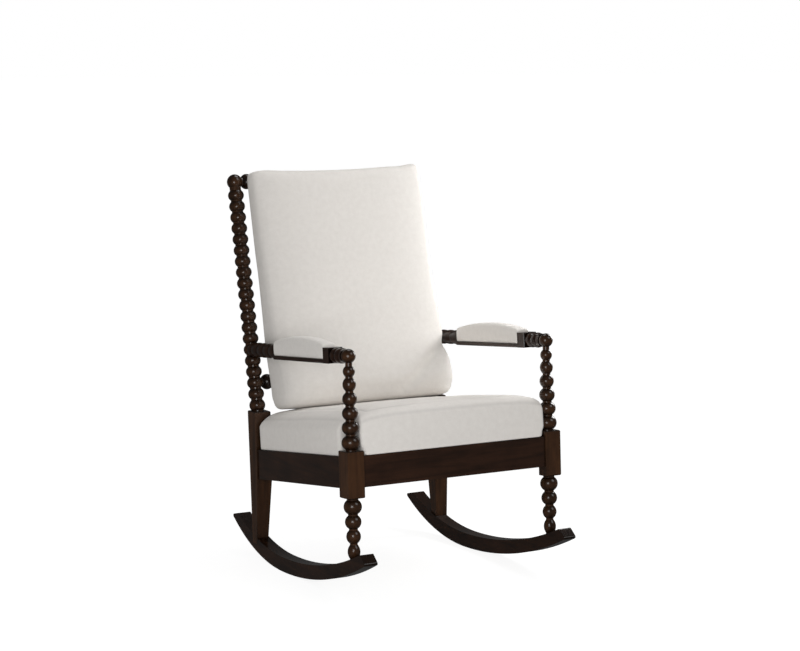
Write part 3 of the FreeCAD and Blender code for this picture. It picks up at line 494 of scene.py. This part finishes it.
# Painted shade: the seam and a thin line along the trough are stored as a mask that the linen darkens, where
# their grooves would lie in shadow.
seat_seam_and_trough_shade = seat_cushion.data.attributes.new("seam_and_trough_shade", "FLOAT", "POINT")
for point in seat_cushion.data.vertices:
    spot = point.co
    rim = seat_rim(spot.x, spot.y)
    above = fade(spot.z, 0.9 * seat_block, 0.96 * seat_block)
    sewn = above * math.exp(-((rim - seam_drop) / seam_width) ** 2)
    inset = min(spot.y - trough_front, trough_side - abs(spot.x), trough_back - spot.y)
    trough = above * math.exp(-(inset / trough_width) ** 2)
    trough_shade_line = above * math.exp(-(inset / trough_shade_width) ** 2)
    seat_seam_and_trough_shade.data[point.index].value = 0.25 * sewn + 0.45 * trough_shade_line
    full = max(0.0, spot.z / seat_block) * (seat_height(spot.x, spot.y) - rim)
    spot.z = full - seam_depth * sewn - trough_depth * trough
stuffed(seat_cushion, cap=0.005, pressure=4.0, held=seat_held)
front_bulge, narrowing = 0.006, 0.098
for point in seat_cushion.data.vertices:
    spot = point.co
    front = math.exp(-(max(0.0, spot.y - 0.004) / 0.016) ** 2)
    bulge = front * fade(spot.z, 0.012, 0.03) * fade(spot.z, 0.105, 0.07)
    spot.x += math.copysign(front_bulge, spot.x) * bulge * fade(abs(spot.x), 0.2, front_half)
    spot.x *= 1.0 - narrowing * spot.y
    spot.z = max(spot.z, 0.0004)
covered(seat_cushion, cover_linen, seat_place)
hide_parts("seat_padding")


# Back: a deep pad of foam over a hidden frame, thickest where it meets the small of the back, in the same
# linen. The cover is drawn round the edges, with a small ear at the upper right corner and a fold at the
# lower right, over the foam that bulges under the arm.
def lofted(rings):
    """Closed shape through rings of equal count."""
    shape = bmesh.new()
    rows = [[shape.verts.new(spot) for spot in ring] for ring in rings]
    for lower, upper in zip(rows, rows[1:]):
        for index in range(len(lower)):
            after = (index + 1) % len(lower)
            shape.faces.new((lower[index], lower[after], upper[after], upper[index]))
    shape.faces.new(list(reversed(rows[0])))
    shape.faces.new(rows[-1])
    bmesh.ops.recalc_face_normals(shape, faces=shape.faces[:])
    return shape


def quarter(middle_x, middle_y, wide, deep, start, power, z):
    """Points round a quarter of an ellipse; a power above 2 squares it."""
    spots = []
    for step in range(13):
        turn = math.radians(start + 7.5 * step)
        across, along = math.cos(turn), math.sin(turn)
        spots.append((middle_x + wide * math.copysign(abs(across) ** (2 / power), across),
                      middle_y + deep * math.copysign(abs(along) ** (2 / power), along), z))
    return spots


back_place = Matrix.Translation((0.0, 0.25853, 0.413)) @ Matrix.Rotation(math.radians(-12.0), 4, "X")
back_rear, back_low, back_length, back_half, back_deep = -0.0252, -0.005, 0.664, 0.262, 0.151
back_crown = 0.008
# Share of the length, then the depth and the width there as shares of the largest.
back_profile = (
    (0.0, 0.79, 0.935), (0.008, 0.87, 0.962), (0.025, 0.93, 0.986), (0.055, 0.975, 1.0),
    (0.09, 1.0, 1.0), (0.14, 0.965, 1.0), (0.22, 0.865, 0.995), (0.31, 0.77, 0.992),
    (0.41, 0.695, 0.99), (0.52, 0.625, 0.99), (0.64, 0.57, 0.995), (0.77, 0.52, 1.0),
    (0.89, 0.485, 1.003), (0.955, 0.465, 1.006), (0.985, 0.43, 1.003), (1.0, 0.32, 0.985))


def back_ring(z, half, deep):
    """Rounded oblong, nearly flat behind, with a crowned front that is rounder at its left edge."""
    hem, left_deep, right_deep = min(0.012, deep * 0.2), deep * 0.62, deep * 0.4
    front = back_rear - deep - back_crown
    ring = quarter(half - hem, back_rear - hem, hem, hem, start=0, power=2.0, z=z)
    ring += quarter(hem - half, back_rear - hem, hem, hem, start=90, power=2.0, z=z)
    ring += quarter(0.0, front + left_deep, half, left_deep, start=180, power=2.8, z=z)
    return ring + quarter(0.0, front + right_deep, half, right_deep, start=270, power=5.0, z=z)[1:]


def dent(spot, start, end, width, depth):
    """Depth of a soft crease at a point: full on the line from start to end, fading over its width."""
    run = end - start
    share = min(1.0, max(0.0, (spot - start).dot(run) / run.length_squared))
    away = (spot - start - run * share).length
    return depth * math.exp(-(away / width) ** 2) * math.sin(math.pi * (0.08 + 0.84 * share))


back_cushion = from_shape("back_cushion", lofted(
    [back_ring(back_low + back_length * place, back_half * width, back_deep * deep)
     for place, deep, width in back_profile]))
evened(back_cushion, voxel=0.0065, smoothing=2)
stuffed(back_cushion, cap=0.003, pressure=4.0, held=lambda spot: spot.y > back_rear - 0.012)
# Folds in the face, each by its two ends, its width and its depth.
back_creases = [(Vector((0.300, 0.0, 0.170)), Vector((0.090, 0.0, 0.020)), 0.019, 0.018),
                (Vector((0.262, 0.0, 0.025)), Vector((0.222, 0.0, 0.012)), 0.010, 0.005),
                (Vector((0.262, 0.0, 0.20)), Vector((0.18, 0.0, 0.15)), 0.02, 0.003),
                (Vector((-0.245, 0.0, 0.16)), Vector((-0.17, 0.0, 0.09)), 0.02, 0.003)]
bulge_out, pinch_in, tuck_in = 0.003, 0.004, 0.008
ear_rise, ear_out, sag_drop, left_corner_drop, left_rise = 0.0065, 0.002, 0.005, 0.008, 0.002
for point in back_cushion.data.vertices:
    spot = point.co
    flat_spot = Vector((spot.x, 0.0, spot.z))
    right, left = fade(spot.x, 0.10, 0.24), fade(-spot.x, 0.10, 0.24)
    bulge = bulge_out * math.exp(-((spot.z - 0.025) / 0.04) ** 2)
    pinch = pinch_in * math.exp(-((spot.z - 0.14) / 0.03) ** 2)
    spot.x += right * (bulge - pinch) + left * tuck_in * fade(spot.z, 0.19, 0.05)
    ear = math.exp(-((spot.x - 0.250) / 0.036) ** 2 - ((spot.z - 0.657) / 0.024) ** 2)
    spot.z += ear_rise * ear
    spot.x += ear_out * ear
    high = fade(spot.z, 0.57, 0.655)
    sag = sag_drop * max(0.0, 1.0 - ((spot.x + 0.03) / 0.19) ** 2)
    spot.z -= high * (sag + rounded_rim(spot.x + back_half, reach=0.03, drop=left_corner_drop))
    spot.z += high * left_rise * fade(-spot.x, 0.16, 0.22)
    folds = sum(dent(flat_spot, *crease) for crease in back_creases)
    spot.y = min(spot.y + fade(back_rear - spot.y, 0.02, 0.085) * folds, back_rear)
covered(back_cushion, cover_linen, back_place)
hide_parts("back_padding")


# Arm pads: a thin board padded with foam under the same linen, with flat ends and a crowned top, screwed to
# the bed of the arm from below.
def rim_distance(x, y, outline):
    """Distance in plan from a point to the nearest side of an outline."""
    nearest = 9.0
    for (ax, ay), (bx, by) in zip(outline, outline[1:] + outline[:1]):
        run_x, run_y = bx - ax, by - ay
        share = ((x - ax) * run_x + (y - ay) * run_y) / (run_x * run_x + run_y * run_y)
        share = min(1.0, max(0.0, share))
        nearest = min(nearest, math.hypot(x - ax - share * run_x, y - ay - share * run_y))
    return nearest


def arm_place(side):
    """Place whose +Z runs back along the arm from the ball, with +Y up."""
    ball = Vector((side * 0.3025, -0.2937, 0.633))
    run = (Vector((side * 0.2845, 0.29383, 0.5792)) - ball).normalized()
    across = run.cross(Vector((0.0, 0.0, 1.0))).normalized()
    turn = Matrix((across, across.cross(run), run)).transposed().to_4x4()
    return Matrix.Translation(ball) @ turn


pad_start, pad_length, pad_half, pad_bed, pad_block = 0.1048, 0.3004, 0.0208, -0.0098, 0.03
pad_rise, pad_swell, pad_crown, pad_edge = 0.036, 0.0145, 0.003, 0.006
pad_plan = [(-pad_half, 0.0), (pad_half, 0.0), (pad_half, pad_length), (-pad_half, pad_length)]
for side, hand in ((-1, "left"), (1, "right")):
    pad_shape = bmesh.new()
    bmesh.ops.create_cube(pad_shape, size=1.0)
    bmesh.ops.scale(pad_shape, vec=(2 * pad_half, pad_block, pad_length), verts=pad_shape.verts[:])
    bmesh.ops.translate(pad_shape, vec=(0.0, pad_block / 2, pad_length / 2), verts=pad_shape.verts[:])
    pad = from_shape("arm_pad_cover_" + hand, pad_shape)
    evened(pad, voxel=0.003, smoothing=3)
    for point in pad.data.vertices:
        spot = point.co
        swell = 1.0 - abs(2 * spot.z / pad_length - 1.0) ** 2.2
        top = pad_rise + pad_swell * swell + pad_crown * (1 - (spot.x / pad_half) ** 2)
        top -= rounded_rim(rim_distance(spot.x, spot.z, pad_plan), reach=pad_edge, drop=pad_edge)
        spot.y = pad_bed + max(0.0, spot.y / pad_block) * top
        spot.z += pad_start
    stuffed(pad, cap=0.0016, pressure=3.0, held=lambda spot: spot.y < pad_bed + 0.005)
    covered(pad, cover_linen, arm_place(side))
    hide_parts("arm_pad_" + hand)

# Outside back: a thin stiff panel under the same linen closes the frame behind the pad. Its edges are
# turned in and it lies against the turned back rails.
panel_wide, panel_thick, panel_high, panel_edge = 0.4628, 0.0028, 0.6228, 0.0012
panel_middle = (0.0, -0.0233, 0.3375)
panel_shape = bmesh.new()
bmesh.ops.create_cube(panel_shape, size=1.0)
bmesh.ops.scale(panel_shape, vec=(panel_wide, panel_thick, panel_high), verts=panel_shape.verts[:])
bmesh.ops.bevel(panel_shape, geom=panel_shape.edges[:], offset=panel_edge, segments=3, profile=0.5,
                affect="EDGES")
bmesh.ops.translate(panel_shape, vec=panel_middle, verts=panel_shape.verts[:])
outside_panel = from_shape("outside_panel", panel_shape)
covered(outside_panel, cover_linen, back_place)
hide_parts("outside_back")


# Stage: a pale floor and a white surround. A broad soft light fills the chair's left front, a narrow one at
# its right and one overhead give the turning its highlights, and the camera stands at the left front.
def pale_floor():
    """Matt floor, lit for the camera so that only its soft shadow shows, and dim in the lacquer."""
    made = bpy.data.materials.new("pale_floor")
    made.use_nodes = True
    nodes, links = made.node_tree.nodes, made.node_tree.links
    shader = nodes["Principled BSDF"]
    shader.inputs["Base Color"].default_value = (0.7, 0.7, 0.7, 1.0)
    shader.inputs["Roughness"].default_value = 0.9
    shader.inputs["Specular IOR Level"].default_value = 0.1
    bright = nodes.new("ShaderNodeEmission")
    bright.inputs["Strength"].default_value = 1.29
    path = nodes.new("ShaderNodeLightPath")
    share = nodes.new("ShaderNodeMath")
    share.operation = "MULTIPLY"
    share.inputs[1].default_value = 0.7
    links.new(path.outputs["Is Camera Ray"], share.inputs[0])
    mixed = nodes.new("ShaderNodeMixShader")
    links.new(share.outputs[0], mixed.inputs["Fac"])
    links.new(shader.outputs["BSDF"], mixed.inputs[1])
    links.new(bright.outputs["Emission"], mixed.inputs[2])
    mirrored = nodes.new("ShaderNodeEmission")
    mirrored.inputs["Strength"].default_value = 0.08
    glossy = nodes.new("ShaderNodeMixShader")
    links.new(path.outputs["Is Glossy Ray"], glossy.inputs["Fac"])
    links.new(mixed.outputs["Shader"], glossy.inputs[1])
    links.new(mirrored.outputs["Emission"], glossy.inputs[2])
    links.new(glossy.outputs["Shader"], nodes["Material Output"].inputs["Surface"])
    return made


floor_mesh = bpy.data.meshes.new("floor")
floor_mesh.from_pydata([(-90, -90, 0), (90, -90, 0), (90, 90, 0), (-90, 90, 0)], [], [(0, 1, 2, 3)])
floor = as_object("floor", floor_mesh)
floor.data.materials.append(pale_floor())

world = bpy.data.worlds.new("white_surround")
bpy.context.scene.world = world
world.use_nodes = True
sky_nodes, sky_links = world.node_tree.nodes, world.node_tree.links
sky_nodes["Background"].inputs["Color"].default_value = (1.0, 1.0, 1.0, 1.0)
sky_nodes["Background"].inputs["Strength"].default_value = 0.39
seen = sky_nodes.new("ShaderNodeBackground")
seen.inputs["Color"].default_value = (1.0, 1.0, 1.0, 1.0)
seen.inputs["Strength"].default_value = 1.0
path = sky_nodes.new("ShaderNodeLightPath")
mixed = sky_nodes.new("ShaderNodeMixShader")
sky_links.new(path.outputs["Is Camera Ray"], mixed.inputs["Fac"])
sky_links.new(sky_nodes["Background"].outputs["Background"], mixed.inputs[1])
sky_links.new(seen.outputs["Background"], mixed.inputs[2])
mirrored = sky_nodes.new("ShaderNodeBackground")
mirrored.inputs["Color"].default_value = (1.0, 1.0, 1.0, 1.0)
mirrored.inputs["Strength"].default_value = 0.08
glossy = sky_nodes.new("ShaderNodeMixShader")
sky_links.new(path.outputs["Is Glossy Ray"], glossy.inputs["Fac"])
sky_links.new(mixed.outputs["Shader"], glossy.inputs[1])
sky_links.new(mirrored.outputs["Background"], glossy.inputs[2])
sky_links.new(glossy.outputs["Shader"], sky_nodes["World Output"].inputs["Surface"])

key_data = bpy.data.lights.new("key", "SUN")
key_data.energy = 0.56
key_data.angle = math.radians(30.0)
key = as_object("key", key_data)
key.rotation_euler = Vector((-0.45, 0.6, -0.66)).to_track_quat("-Z", "Y").to_euler()


def soft_light(name, wide, high, watts, place, aim):
    """Rectangular light at a place, turned to face a point."""
    data = bpy.data.lights.new(name, "AREA")
    data.shape = "RECTANGLE"
    data.size, data.size_y = wide, high
    data.energy = watts
    light = as_object(name, data)
    light.location = place
    light.rotation_euler = (Vector(aim) - light.location).to_track_quat("-Z", "Y").to_euler()


soft_light("window", 0.3, 0.6, 7.0, place=(0.95, 0.0, 0.95), aim=(0.0, 0.15, 0.75))
soft_light("overhead", 0.8, 0.8, 8.0, place=(0.3, 0.5, 2.4), aim=(0.0, -0.1, 0.5))
soft_light("fill", 1.4, 1.4, 34.0, place=(-2.1, -2.55, 0.95), aim=(0.0, 0.0, 0.42))

tilt_down, turn_right = 7.213, 30.313
camera_data = bpy.data.cameras.new("photo_view")
camera_data.sensor_fit = "HORIZONTAL"
camera_data.sensor_width = 36.0
camera_data.lens = 99.0
camera_data.clip_end = 200.0
camera = as_object("photo_view", camera_data)
camera.location = (-2.9864, -5.1446, 1.4132)
camera.rotation_euler = (math.radians(90.0 - tilt_down), 0.0, math.radians(-turn_right))
bpy.context.scene.camera = camera
bpy.context.scene.view_settings.view_transform = "Standard"
